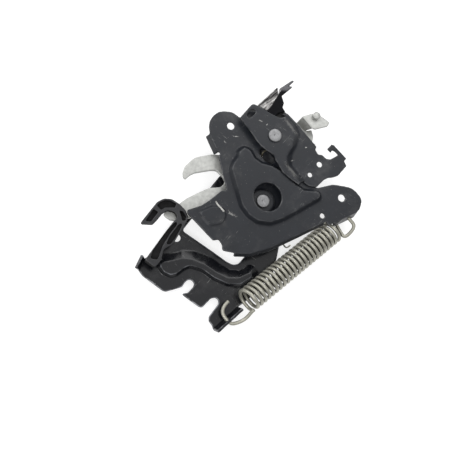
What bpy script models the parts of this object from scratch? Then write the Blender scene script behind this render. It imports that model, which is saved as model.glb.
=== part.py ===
"""Bonnet latch: stamped plates, catch fork, pawl, lift lever with its moulded pull, and springs."""

import math

import bmesh
import bpy
from mathutils import Matrix, Vector

MM = 0.001

# Driving dimensions, in millimetres
BOLT_SPAN = 114.96
DRAWN_SPAN = 114.96
GAP = 0.3
PLATE_T = 2.5
ISLAND_RISE = 4.5
ISLAND_RUN = 3.0
PAD_RISE = 1.2
PAD_RUN = 1.5
COVER_T = 2.0
COVER_RUN = 6.0
BEARING_T = 2.0
BEARING_DEPTH = 4.8
BOSS_RISE = 1.5
BOSS_RUN = 1.5
BOSS_R = 10.0
FORK_T = 4.0
PAWL_T = 4.0
ARM_T = 2.0
ARM_LIFT = 9.4
RELEASE_T = 2.0
RELEASE_LIFT = 4.5
SPACER_R = 7.0
LEVER_T = 2.5
RIB_RISE = 3.0
RIB_RUN = 2.5
RIB_LEAN = (3.0, 5.2)
SPRING_ROOM = 4.0
WASHER_T = 1.0
WASHER_R = 9.0
RIVET_R = 4.0
RIVET_HEAD_R = 5.7
RIVET_HEAD_H = 1.6
RIVET_DIMPLE_R = 0.9
RIVET_DIMPLE_H = 0.4
SLEEVE_R = 6.0
PIN_R = 2.0
PIN_HEAD_R = 3.4
PIN_HEAD_H = 1.2
PIN_SLEEVE_R = 3.4
STUD_R = 1.6
STUD_HEAD_R = 3.4
STUD_HEAD_H = 2.2
STUD_NECK_H = 1.6
BOLT_HOLE_R = 3.3
WINDOW_R = 12.4
LIP_DROP = 4.0
ARM_FLANGE_DROP = 13.0
EAR_FLANGE_DROP = 7.0
PLATE_FLARE = 2.6
LEVER_FLARE = 3.0
END_FLANGE_RISE = 6.0
ANCHOR_RISE = 9.0
PULL_T = 5.6
PULL_TOP = -1.0
PULL_FLOOR = 1.4
POCKET_GROWTH = 0.4
COIL_R = 9.5
COIL_WIRE = 2.9
COIL_TURNS = 23
COIL_PITCH = 4.2
COIL_STEPS = 12
LEG_WIRE = 1.4
LEG_COIL_R = 7.7
LEG_PITCH = 1.75
LEG_STEPS = 14
FORK_COIL_TURNS = 1.04
FORK_COIL_START = 225.0
PAWL_COIL_TURNS = 1.47
PAWL_COIL_START = 285.0
SHARP = 32.0
ROUND_STEPS = 28

# Places in the plane of the plates, in millimetres
PAWL_AXIS = (-12.6, 20.0)
FORK_AXIS = (-20.3, -35.3)
EAR_HOLE = (-49.6, 28.3)
ARM_HOLE = (49.6, -29.8)
BEND_HOLE = (31.5, -46.6)
BEND_HOLE_R = 2.3
WINDOW = (-18.7, -33.7)
CAM_R = 22.0
NOTCH_R = 17.5
HUB_R = 16.0
FORK_STOP = (-44.0, -54.5)
LEVER_STOP = (3.8, -58.0)
HIGH_HOOK_HOLE = (58.5, -44.25, -7.0)
LOW_HOOK_HOLE = (-50.5, -136.8, -10.0)
HOOK_HOLE_R = 2.2
STUD = (28.9, 44.2)
FORK_SPRING_HOLE = (-40.0, -26.5)
FORK_SPRING_HOLE_R = 1.1
PAWL_HUB_R = 9.0
NOSE_ANGLE = 16.0
FORK_TRAVEL = 38.0
NOSE_W = 6.0
COIL_LOW_END = (-34.1, -119.7, -1.0)
COIL_HIGH_END = (42.0, -58.3, -12.0)
CORD_HOLE = (-92.5, -68.0)
CORD_HOLE_R = 3.4
CLIP_SLOT = (-33.2, 38.5)
CLIP_SLOT_LENGTH = 9.4
CLIP_SLOT_WIDTH = 4.6
CLIP_SLOT_TURN = 46.0
HIGH_HOOK_HEADING = -63.4
LOW_HOOK_HEADING = -48.0
HUB_FIRST = 160
HUB_LAST = 380
ARM_HUB_FIRST = 80
ARM_HUB_LAST = 280

# Levels through the stack, in millimetres
PLATE_TOP = PLATE_T
ISLAND_TOP = PLATE_TOP + ISLAND_RISE
COVER_LOW_TOP = PLATE_TOP + GAP + COVER_T
COVER_TOP = ISLAND_TOP + GAP + COVER_T
BEARING_TOP = -BEARING_DEPTH
BEARING_BACK = BEARING_TOP - BEARING_T
BOSS_TOP = BEARING_TOP + BOSS_RISE
FORK_TOP = BEARING_BACK - GAP
FORK_BACK = FORK_TOP - FORK_T
PAWL_BACK = FORK_TOP - PAWL_T
ARM_TOP = PAWL_BACK - GAP
ARM_BACK = ARM_TOP - ARM_T
LEVER_TOP = FORK_BACK - GAP - SPRING_ROOM
LEVER_BACK = LEVER_TOP - LEVER_T
WASHER_TOP = LEVER_BACK - GAP
WASHER_BACK = WASHER_TOP - WASHER_T
RELEASE_BACK = PLATE_TOP + 2 * GAP
RELEASE_TOP = RELEASE_BACK + RELEASE_T
PULL_BACK = PULL_TOP - PULL_T

# Metres for each drawn millimetre: along the plates, where the bolt holes' span rules, and across them
PLAN = MM * BOLT_SPAN / DRAWN_SPAN
SCALE = (PLAN, PLAN, MM)


def material(name, colour, roughness, metallic):
    made = bpy.data.materials.new(name)
    made.use_nodes = True
    shader = made.node_tree.nodes["Principled BSDF"]
    shader.inputs["Base Color"].default_value = (*colour, 1.0)
    shader.inputs["Roughness"].default_value = roughness
    shader.inputs["Metallic"].default_value = metallic
    made.diffuse_color = (*colour, 1.0)
    return made


def link(name, data, made):
    obj = bpy.data.objects.new(name, data)
    bpy.context.scene.collection.objects.link(obj)
    if made is not None:
        data.materials.append(made)
    return obj


def place(name, bm, made=None):
    """Turns a bmesh drawn in millimetres into an object in metres."""
    bmesh.ops.recalc_face_normals(bm, faces=bm.faces)
    bmesh.ops.scale(bm, vec=SCALE, verts=bm.verts)
    mesh = bpy.data.meshes.new(name)
    bm.to_mesh(mesh)
    bm.free()
    obj = link(name, mesh, made)
    mesh.shade_smooth()
    mesh.set_sharp_from_angle(angle=math.radians(SHARP))
    return obj


def pivot(name, at):
    empty = bpy.data.objects.new(name, None)
    empty.location = (at[0] * PLAN, at[1] * PLAN, 0.0)
    bpy.context.scene.collection.objects.link(empty)
    return empty


def hang(obj, empty):
    """Moves the object's own origin to the pivot, without moving its shape, and parents it there."""
    obj.data.transform(Matrix.Translation(-empty.location))
    obj.parent = empty
    return obj


def cut(target, cutter):
    cutter.hide_render = True
    cutter.display_type = "WIRE"
    boolean = target.modifiers.new("cut " + cutter.name, "BOOLEAN")
    boolean.operation = "DIFFERENCE"
    boolean.solver = "EXACT"
    boolean.object = cutter


def weld_on(target, piece):
    """Makes a hidden piece part of the target, as one stamping or moulding."""
    cut(target, piece)
    target.modifiers[-1].operation = "UNION"


def polar(centre, radius, degrees):
    turn = math.radians(degrees)
    return (centre[0] + radius * math.cos(turn), centre[1] + radius * math.sin(turn))


def circle(centre, radius, steps=ROUND_STEPS):
    return [polar(centre, radius, 360.0 * i / steps) for i in range(steps)]


def slot(centre, length, width, degrees, steps=6):
    """A round-ended slot's outline."""
    half = (length - width) / 2
    ends = [polar(centre, half, degrees), polar(centre, -half, degrees)]
    return [
        polar(end, width / 2, degrees + start + 180.0 * i / steps)
        for end, start in zip(ends, (-90.0, 90.0))
        for i in range(steps + 1)
    ]


def rounded(corners):
    """A closed outline from corners (x, y, radius, fold), and the fold of the edge after each point.

    A corner's radius is limited by the edges beside it, and its fold bends the edge that follows.
    """
    points, folds = [], []
    for i, corner in enumerate(corners):
        last, after = corners[i - 1], corners[(i + 1) % len(corners)]
        here = Vector(corner[:2])
        back, on = Vector(last[:2]) - here, Vector(after[:2]) - here
        half = back.angle(on) / 2
        fold_in = last[3] if len(last) > 3 else 0.0
        fold_out = corner[3] if len(corner) > 3 else 0.0
        reach = min(corner[2] / math.tan(half), 0.45 * back.length, 0.45 * on.length)
        radius = reach * math.tan(half)
        if radius < 0.2:
            points.append(tuple(here))
            folds.append(fold_out)
            continue
        centre = here + (back.normalized() + on.normalized()).normalized() * radius / math.sin(half)
        first = here + back.normalized() * reach - centre
        sweep = math.pi - 2 * half
        side = 1.0 if back.cross(on) < 0 else -1.0
        steps = max(2, round(math.degrees(sweep) / 22.0))
        for step in range(steps + 1):
            spoke = first.copy()
            spoke.rotate(Matrix.Rotation(side * sweep * step / steps, 2))
            points.append(tuple(centre + spoke))
            folds.append(fold_out if step == steps else (fold_in if fold_in and fold_out else 0.0))
    return points, folds


def outline(corners):
    return rounded(corners)[0]


def grown(points, distance, lean=(0.0, 0.0)):
    """The outline moved out by a distance, and further where it faces along the lean."""
    area = sum(a[0] * b[1] - b[0] * a[1] for a, b in zip(points, points[1:] + points[:1]))
    side = 1.0 if area > 0 else -1.0
    moved = []
    for i, point in enumerate(points):
        before, after = points[i - 1], points[(i + 1) % len(points)]
        along = (Vector(after) - Vector(before)).normalized()
        out = side * Vector((along.y, -along.x))
        reach = distance + max(0.0, out.dot(Vector(lean)))
        moved.append(tuple(Vector(point) + reach * out))
    return moved


def ring(bm, points, height):
    verts = [bm.verts.new((x, y, height)) for x, y in points]
    edges = [bm.edges.new((verts[i - 1], verts[i])) for i in range(len(verts))]
    return verts, edges


def fill(bm, edges):
    bmesh.ops.triangle_fill(bm, use_beauty=True, edges=edges, normal=(0.0, 0.0, 1.0))


def bridge(bm, first, second):
    for i in range(len(first)):
        bm.faces.new((first[i - 1], first[i], second[i], second[i - 1]))


def prism(name, loops, low, high, made=None):
    """A flat piece: the first loop is its outline and the others are holes."""
    bm = bmesh.new()
    sides = []
    for height in (low, high):
        rings = [ring(bm, loop, height) for loop in loops]
        fill(bm, [edge for _, edges in rings for edge in edges])
        sides.append([verts for verts, _ in rings])
    for below, above in zip(*sides):
        bridge(bm, below, above)
    return place(name, bm, made)


def turned(name, at, profile, made, bored=False, steps=ROUND_STEPS):
    """A round piece: (radius, height) pairs turned about a vertical axis."""
    bm = bmesh.new()
    rings = []
    for radius, height in profile:
        rim = circle(at, radius, steps) if radius else [at]
        rings.append([bm.verts.new((x, y, height)) for x, y in rim])
    pairs = list(zip(rings, rings[1:])) + ([(rings[-1], rings[0])] if bored else [])
    for first, second in pairs:
        for i in range(steps):
            corners = [first[(i - 1) % len(first)], first[i % len(first)]]
            corners += [second[i % len(second)], second[(i - 1) % len(second)]]
            bm.faces.new(list(dict.fromkeys(corners)))
    return place(name, bm, made)


def tube(name, at, inner, outer, low, high, made):
    profile = [(inner, high), (outer, high), (outer, low), (inner, low)]
    return turned(name, at, profile, made, bored=True)


def add_boss(bm, top_loop, rise, run, level, holes=(), lean=(0.0, 0.0)):
    """A raised area of a sheet, and the edges of its foot."""
    top_verts, top_edges = ring(bm, top_loop, level + rise)
    foot_verts, foot_edges = ring(bm, grown(top_loop, run, lean), level)
    bridge(bm, foot_verts, top_verts)
    for hole in holes:
        top_edges += ring(bm, hole, level + rise)[1]
    fill(bm, top_edges)
    return foot_edges


def fold_edges(bm, verts, folds, level, flare=0.0):
    """Bends the marked edges down, or up where the fold is negative, and out by the flare."""
    feet = grown([vert.co.xy for vert in verts], flare)
    lower = {}
    for i, fold in enumerate(folds):
        if not fold:
            continue
        pair = (i, (i + 1) % len(verts))
        for end in pair:
            if end not in lower:
                lower[end] = bm.verts.new((*feet[end], level - fold))
        bm.faces.new((verts[pair[0]], verts[pair[1]], lower[pair[1]], lower[pair[0]]))


def thicken(obj, thickness):
    solid = obj.modifiers.new("thickness", "SOLIDIFY")
    solid.thickness = thickness * MM
    solid.offset = -1.0
    solid.use_even_offset = True
    return obj


def place_sheet(name, bm, thickness, made):
    obj = place(name, bm, made)
    if sum(face.normal.z * face.area for face in obj.data.polygons) < 0:
        obj.data.flip_normals()
    return thicken(obj, thickness)


def wire(name, points, thickness, made, resolution=1):
    """A round wire along points in millimetres."""
    curve = bpy.data.curves.new(name, "CURVE")
    curve.dimensions = "3D"
    curve.bevel_depth = thickness / 2 * MM
    curve.bevel_resolution = resolution
    curve.use_fill_caps = True
    spline = curve.splines.new("POLY")
    spline.points.add(len(points) - 1)
    for point, at in zip(spline.points, points):
        point.co = (at[0] * PLAN, at[1] * PLAN, at[2] * MM, 1.0)
    return link(name, curve, made)


def rivet(name, at, top, bottom, made):
    """A shouldered rivet: domed head above top, shank, and a flat tail below bottom."""
    crown = top + RIVET_HEAD_H
    profile = [
        (0.0, crown - RIVET_DIMPLE_H),
        (RIVET_DIMPLE_R, crown),
        (0.62 * RIVET_HEAD_R, crown - 0.1 * RIVET_HEAD_H),
        (0.9 * RIVET_HEAD_R, crown - 0.4 * RIVET_HEAD_H),
        (RIVET_HEAD_R, top + 0.25 * RIVET_HEAD_H),
        (RIVET_HEAD_R, top),
        (RIVET_R, top),
        (RIVET_R, bottom),
        (RIVET_HEAD_R, bottom),
        (0.9 * RIVET_HEAD_R, bottom - 0.7 * RIVET_HEAD_H),
        (0.6 * RIVET_HEAD_R, bottom - RIVET_HEAD_H),
        (0.0, bottom - RIVET_HEAD_H),
    ]
    return turned(name, at, profile, made)


def drill(target, name, at, heading, radius):
    """A level round hole through an upright flange."""
    drill_length = 12.0
    bm = bmesh.new()
    bmesh.ops.create_cone(
        bm, cap_ends=True, segments=12, radius1=radius * MM, radius2=radius * MM,
        depth=drill_length * MM,
        matrix=Matrix.Translation(Vector(at) * Vector(SCALE))
        @ Matrix.Rotation(math.radians(heading), 4, "Z")
        @ Matrix.Rotation(math.radians(90.0), 4, "Y"),
    )
    mesh = bpy.data.meshes.new(name)
    bm.to_mesh(mesh)
    bm.free()
    cut(target, link(name, mesh, None))


def spring_slot():
    """The hole in both plates where the pawl spring's leg lies."""
    return outline([
        (-24.7, 7.5, 2), (-22.2, 10.6, 2), (-16.8, 9.8, 2), (-10.2, 3.5, 2), (-10, -0.5, 1.5),
        (-13.8, -3.7, 2), (-18.7, -1.5, 2), (-23.6, 3.1, 2),
    ])


def main_plate(made):
    corners = [
        (-69, 31, 12), (-61, 41.5, 12), (-48, 41, 8), (-41, 36, 2), (-34, 43.5, 2), (-27, 44, 4),
        (-22, 36, 5), (-10, 36, 14), (6, 28, 8), (17, -8, 8),
        (20.5, -20, 6), (28, -22, 4), (42, -18, 12), (60, -20, 12), (69, -30, 8), (66, -39, 4),
        (64, -41.5, 0, ARM_FLANGE_DROP), (50, -48.5, 0, LIP_DROP), (42, -52.5, 0),
        (37, -55, 0), (34.5, -51.5, 1), (33, -52, 0, LIP_DROP),
        (8.5, -64.5, 30, LIP_DROP), (-17.8, -77.6, 40, LIP_DROP), (-34, -82.3, 10, LIP_DROP),
        (-46.6, -82.6, 0), (-57, -80.5, 2), (-57, -76, 1), (-60, -71.5, 1.5), (-64.8, -72.4, 1),
        (-69.4, -68, 2), (-87, -50, 1.5), (-86.8, -47.5, 1), (-75, -43, 2), (-68.8, -38.8, 3),
        (-57.7, -29.3, 2), (-52.9, -28.7, 1), (-60.2, -0.3, 1), (-58.7, 4.2, 1),
        (-61, 4.5, 0, EAR_FLANGE_DROP), (-68.3, 20, 0),
    ]
    island = outline([
        (-42.9, 1.3, 3), (-47.3, -5.5, 4), (-49.4, -10.8, 4), (-42.3, -35, 8), (-40.2, -42.1, 6),
        (-34.4, -49.7, 6), (-27.2, -54.3, 6), (-16.4, -55.2, 6), (-5.3, -51.1, 8), (9.6, -42.3, 10),
        (34, -27.5, 3), (14, -26.5, 4), (6, -21.5, 6), (-4.1, -12, 6), (-14.7, -6.5, 6),
        (-23.8, -4.7, 5), (-29.7, -0.7, 5), (-34.1, 6.4, 4), (-38.5, 8.3, 2), (-42.9, 4.2, 2),
    ])
    pad = outline([
        (-77, -49.5, 3), (-66, -44, 6), (-57, -44, 4), (-54.5, -51, 5), (-58, -57.5, 5),
        (-68, -59.5, 4),
    ])
    points, folds = rounded(corners)
    bm = bmesh.new()
    verts, edges = ring(bm, points, PLATE_TOP)
    edges += add_boss(bm, island, ISLAND_RISE, ISLAND_RUN, PLATE_TOP, [circle(WINDOW, WINDOW_R)])
    edges += add_boss(bm, pad, PAD_RISE, PAD_RUN, PLATE_TOP)
    holes = [
        circle(EAR_HOLE, BOLT_HOLE_R, 20), circle(ARM_HOLE, BOLT_HOLE_R, 20), spring_slot(),
        circle(PAWL_AXIS, SLEEVE_R + GAP), circle(BEND_HOLE, BEND_HOLE_R, 14),
    ]
    for hole in holes:
        edges += ring(bm, hole, PLATE_TOP)[1]
    land_verts, land_edges = ring(bm, [(-5, -4), (7, -4), (1, 8)], PLATE_TOP)
    fill(bm, edges + land_edges)
    bm.faces.new(land_verts)
    fold_edges(bm, verts, folds, PLATE_TOP, PLATE_FLARE)
    plate = place_sheet("main_plate", bm, PLATE_T, made)
    drill(plate, "high_hook_hole", HIGH_HOOK_HOLE, HIGH_HOOK_HEADING, HOOK_HOLE_R)
    return plate


def cover_plate(made):
    """The stepped plate that carries the front of the pawl rivet and the cable clip."""
    step = [
        (-6.3, 36.8), (2.5, 28), (5.4, 21.5), (2.7, 11), (-2.1, 2.1), (-2.3, -7.1), (3.8, -14.4),
        (9.5, -20.2),
    ]
    raised_left = [
        (8.4, -22), (1.3, -17.6), (-5.7, -11.9), (-11.8, -1.7), (-13.7, 2.9), (-20.6, 7),
        (-24.4, 9.8), (-28.9, 14.9), (-33.4, 21.5), (-37.6, 26.6), (-43.3, 33.9), (-33.1, 46.4),
        (-30.9, 47.5), (-23.3, 44.5), (-16.2, 40.1), (-9.1, 37.2),
    ]
    low_right = [
        (-5.2, 41.2), (-1.8, 42.8), (0.7, 42.7), (9.1, 34.6), (26.7, 14.5), (25.7, 11.4),
        (28.2, 7.4), (31.4, 7.5), (35.5, 4.1), (39.3, 3.9), (43.7, 6.5), (46.6, 8.3), (43.8, 11.2),
        (41, 12.2), (39.8, 9.8), (36.6, 13.1), (40.8, 17.4), (43.2, 16.8), (54.1, 5.3), (52, 3.1),
        (54.1, -1.4), (46.1, -10.5), (41.6, -12.4), (36.8, -13.1), (32.8, -15.3), (26.2, -21.9),
        (19.2, -21.5), (14.5, -18.7),
    ]
    bm = bmesh.new()
    high = [bm.verts.new((x, y, COVER_TOP)) for x, y in step]
    low = [bm.verts.new((x + COVER_RUN, y + 0.6 * COVER_RUN, COVER_LOW_TOP)) for x, y in step]
    for i in range(1, len(step)):
        bm.faces.new((high[i - 1], high[i], low[i], low[i - 1]))
    for border, points, level, holes in (
        (high, raised_left, COVER_TOP, [
            circle(PAWL_AXIS, RIVET_R + GAP),
            slot(CLIP_SLOT, CLIP_SLOT_LENGTH, CLIP_SLOT_WIDTH, CLIP_SLOT_TURN),
        ]),
        (low[::-1], low_right, COVER_LOW_TOP, [
            circle((29.1, -1.5), 2.5, 16), circle((20.2, -11.4), 2.1, 16),
        ]),
    ):
        chain = border + [bm.verts.new((x, y, level)) for x, y in points]
        edges = [
            bm.edges.get((chain[i - 1], chain[i])) or bm.edges.new((chain[i - 1], chain[i]))
            for i in range(len(chain))
        ]
        for hole in holes:
            edges += ring(bm, hole, level)[1]
        fill(bm, edges)
    return place_sheet("cover_plate", bm, COVER_T, made)


def bearing_plate(made):
    """The inner plate that carries both rivets, with a boss under the fork rivet's head."""
    rise = PLATE_TOP - PLATE_T - GAP - BEARING_TOP
    corners = [
        (-24, 30, 10), (-3, 30, 10), (-1, 8, 8), (-3, -16, 8), (10, -50, 8), (10, -64.5, 5),
        (-2, -64.5, 5), (-12, -60, 0, -rise), (-30, -60, 0), (-42, -61, 5), (-50.5, -61, 5),
        (-50.5, -48, 5), (-40, -40, 10), (-38, -20, 10), (-27, -6, 8),
    ]
    points, folds = rounded(corners)
    bm = bmesh.new()
    verts, edges = ring(bm, points, BEARING_TOP)
    holes = [
        circle(PAWL_AXIS, SLEEVE_R + GAP), spring_slot(), circle(FORK_STOP, PIN_R + GAP, 12),
        circle(LEVER_STOP, PIN_R + GAP, 12),
    ]
    for hole in holes:
        edges += ring(bm, hole, BEARING_TOP)[1]
    bore = circle(FORK_AXIS, RIVET_R + GAP)
    edges += add_boss(bm, circle(FORK_AXIS, BOSS_R), BOSS_RISE, BOSS_RUN, BEARING_TOP, [bore])
    fill(bm, edges)
    fold_edges(bm, verts, folds, BEARING_TOP)
    return place_sheet("bearing_plate", bm, BEARING_T, made)


def fork(made):
    """The catch: two jaws, a bored hub, and a cam with the notch that the pawl holds."""
    catch = NOSE_ANGLE + FORK_TRAVEL
    corners = [
        (-55, -14, 4), (-60, -9.3, 4), (-65, -9.4, 6), (-79, -12.7, 6), (-83, -14.8, 3),
        (-87, -18.8, 1), (-89, -16.5, 1.5), (-89.2, -12.7, 3), (-87.5, -7, 5), (-79, 1, 10),
        (-64.6, 4.8, 12), (-56.5, 4.8, 3), (-48, -5, 6), (-36, -14, 5),
        (*polar(FORK_AXIS, NOTCH_R + 1, catch + 70), 3), (*polar(FORK_AXIS, NOTCH_R, catch + 40), 0),
        (*polar(FORK_AXIS, NOTCH_R, catch + 20), 0), (*polar(FORK_AXIS, NOTCH_R, catch + 3), 1),
    ]
    corners += [(*polar(FORK_AXIS, CAM_R, catch - a), 0) for a in range(0, int(FORK_TRAVEL) + 15, 6)]
    corners += [(*polar(FORK_AXIS, HUB_R, a), 0) for a in range(-12, -131, -17)]
    corners += [
        (-42, -49, 8), (-62, -46, 10), (-80, -51, 8), (-92, -55.5, 3), (-99.9, -54.5, 2),
        (-105.8, -50.5, 3), (-103, -46, 3), (-92.6, -40.7, 8), (-85.9, -35.4, 8), (-76.2, -30, 8),
        (-66.4, -25, 8), (-56.4, -23.9, 3), (-52, -19, 3),
    ]
    holes = [
        circle(FORK_AXIS, SLEEVE_R + GAP), circle(FORK_SPRING_HOLE, FORK_SPRING_HOLE_R, 8),
    ]
    return prism("fork", [outline(corners), *holes], FORK_BACK, FORK_TOP, made)


def pawl(made):
    """The lever whose nose rides on the fork's cam and drops behind its notch."""
    nose = [polar(FORK_AXIS, CAM_R + GAP, a) for a in (NOSE_ANGLE, NOSE_ANGLE + 5, NOSE_ANGLE + 10)]
    corners = [(*point, 0) for point in nose]
    corners += [(-2, -18, 3), (-6, -4, 8), (-16, 3, 6)]
    corners += [(*polar(PAWL_AXIS, PAWL_HUB_R, a), 0) for a in range(235, 39, -20)]
    corners += [(2, 8, 8), (7, -12, 10), (8.5, -26, 3), (5, -29.6, 1)]
    return prism("pawl", [outline(corners), circle(PAWL_AXIS, SLEEVE_R + GAP)], PAWL_BACK, FORK_TOP, made)


def hub_arc(first, last):
    """The outside of a pawl lever round its pivot, from one heading to another."""
    step = 20 if last > first else -20
    return [polar(PAWL_AXIS, PAWL_HUB_R, a) for a in range(first, last + step // 20, step)]


def release_arm(made):
    """The plated arm under the pawl that rises past the cover to the cable's stud."""
    flat = hub_arc(ARM_HUB_FIRST, ARM_HUB_LAST) + [(7, 10.5), (21, 14), (28, 21), (29.6, 29.5), (28, 35)]
    crease = [(21.3, 33.5), (14.3, 40.9)]
    ramp = [(16.5, 43.5), (25.5, 33.2)]
    tab = [(28, 32.4), (39.7, 36), (41.9, 39.7), (39.5, 41.8), (34, 45.2), (26, 47.2)]
    bm = bmesh.new()
    low = [bm.verts.new((x, y, ARM_TOP)) for x, y in flat + crease]
    high = [bm.verts.new((x, y, ARM_TOP + ARM_LIFT)) for x, y in ramp + tab]
    for chain, holes in ((low, [circle(PAWL_AXIS, RIVET_R + GAP)]), (high, [])):
        edges = [bm.edges.new((chain[i - 1], chain[i])) for i in range(len(chain))]
        for hole in holes:
            edges += ring(bm, hole, ARM_TOP)[1]
        fill(bm, edges)
    bm.faces.new((low[-2], low[-1], high[0], high[1]))
    return place_sheet("release_arm", bm, ARM_T, made)


def cable_stud(made):
    """The headed stud on the release arm, where the cable's end hooks on."""
    base = ARM_TOP + ARM_LIFT + GAP
    neck = base + STUD_NECK_H
    crown = neck + STUD_HEAD_H
    profile = [
        (0.0, crown), (0.6 * STUD_HEAD_R, crown - 0.1 * STUD_HEAD_H),
        (STUD_HEAD_R, crown - 0.5 * STUD_HEAD_H), (STUD_HEAD_R, neck), (STUD_R, neck),
        (STUD_R, base), (0.0, base),
    ]
    return turned("cable_stud", STUD, profile, made, steps=18)


def release_lever(made):
    """The bright lever between plate and cover, with a raised side and a finger grip."""
    right = [
        (-11, 37.5), (-8.5, 41.5), (-1.5, 44.2), (-3.7, 47.6), (-2.5, 52), (-4.4, 58.3),
        (5.3, 67), (4.4, 68.2), (0.6, 66.4), (7.1, 72.7), (5.4, 73.7), (-6.2, 65),
    ]
    crease = [(-7.5, 58.5), (-17, 43)]
    bm = bmesh.new()
    low = [bm.verts.new((x, y, RELEASE_TOP)) for x, y in hub_arc(HUB_FIRST, HUB_LAST) + right + crease]
    edges = [bm.edges.new((low[i - 1], low[i])) for i in range(len(low))]
    edges += ring(bm, circle(PAWL_AXIS, RIVET_R + GAP), RELEASE_TOP)[1]
    fill(bm, edges)
    high = [bm.verts.new((-9.4, 63.9, RELEASE_TOP + RELEASE_LIFT))]
    high.append(bm.verts.new((-26.4, 47.4, RELEASE_TOP + 0.15 * RELEASE_LIFT)))
    bm.faces.new((low[-2], low[-1], high[1], high[0]))
    return place_sheet("release_lever", bm, RELEASE_T, made)


def lift_lever(made):
    """The large stamped lever: hub, opening, raised rib, slots, end flange and spring anchor."""
    corners = [
        (-4, -35, 10), (-4, -26, 10), (-14, -17, 10), (-40, -8, 6), (-54.9, -11.1, 4),
        (-63.7, -22.4, 10), (-86, -49, 3), (-97, -64, 5), (-108, -79, 3),
        (-119, -87, 0, -END_FLANGE_RISE), (-123.5, -97, 0), (-121, -101.3, 2),
        (-103.8, -113.5, 3), (-101, -114.1, 2), (-87.2, -109.7, 2), (-85.8, -106.8, 1),
        (-83, -103.8, 2.2), (-79.6, -103.5, 2.2), (-77.1, -106.5, 2), (-78.1, -109.4, 1),
        (-82.4, -114.3, 1), (-88.6, -115.4, 1), (-73.2, -126, 2), (-70.3, -126.8, 2),
        (-64.5, -120.5, 1.5), (-62.5, -118.6, 1.5), (-58.7, -118, 2), (-56.2, -120.3, 2),
        (-56.7, -123.6, 1.5), (-64.4, -133.8, 2), (-64.7, -137.6, 1.5), (-61.5, -141.7, 1),
        (-61.3, -144.2, 0, -ANCHOR_RISE), (-39.7, -124.7, 0), (-34, -121.5, 3), (-18, -108.5, 4),
        (-14.5, -98, 4), (-5, -84, 8), (-2, -70, 12),
    ]
    gap = outline([
        (-79.5, -50.7, 3), (-87.7, -61.5, 2), (-60.7, -78.9, 3), (-49.9, -86.3, 4),
        (-43.9, -89.2, 5), (-38.9, -88.3, 4), (-31.9, -80.1, 4), (-33, -66, 8), (-50, -52, 8),
        (-66, -42, 5),
    ])
    rib = outline([
        (-107, -92.5, 2), (-103.5, -97.5, 3), (-97.8, -100.2, 4), (-93, -98.8, 4),
        (-87.3, -94.2, 4), (-81.6, -91.2, 6), (-70.1, -94.6, 8), (-60.4, -101.2, 8),
        (-48.7, -106.1, 6), (-38, -106, 4), (-28, -99.5, 3), (-29, -96, 2), (-39, -101, 6),
        (-49, -101.5, 8), (-59, -97, 8), (-69, -90.5, 8), (-80, -86.5, 8), (-88, -86, 5),
        (-97, -88.5, 6), (-104, -90, 3),
    ])
    points, folds = rounded(corners)
    bm = bmesh.new()
    verts, edges = ring(bm, points, LEVER_TOP)
    edges += add_boss(bm, rib, RIB_RISE, RIB_RUN, LEVER_TOP, lean=RIB_LEAN)
    edges += ring(bm, gap, LEVER_TOP)[1]
    edges += ring(bm, circle(FORK_AXIS, SLEEVE_R + GAP), LEVER_TOP)[1]
    edges += ring(bm, circle(CORD_HOLE, CORD_HOLE_R, 16), LEVER_TOP)[1]
    fill(bm, edges)
    fold_edges(bm, verts, folds, LEVER_TOP, LEVER_FLARE)
    lever = place_sheet("lift_lever", bm, LEVER_T, made)
    drill(lever, "low_hook_hole", LOW_HOOK_HOLE, LOW_HOOK_HEADING, HOOK_HOLE_R)
    return lever


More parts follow.
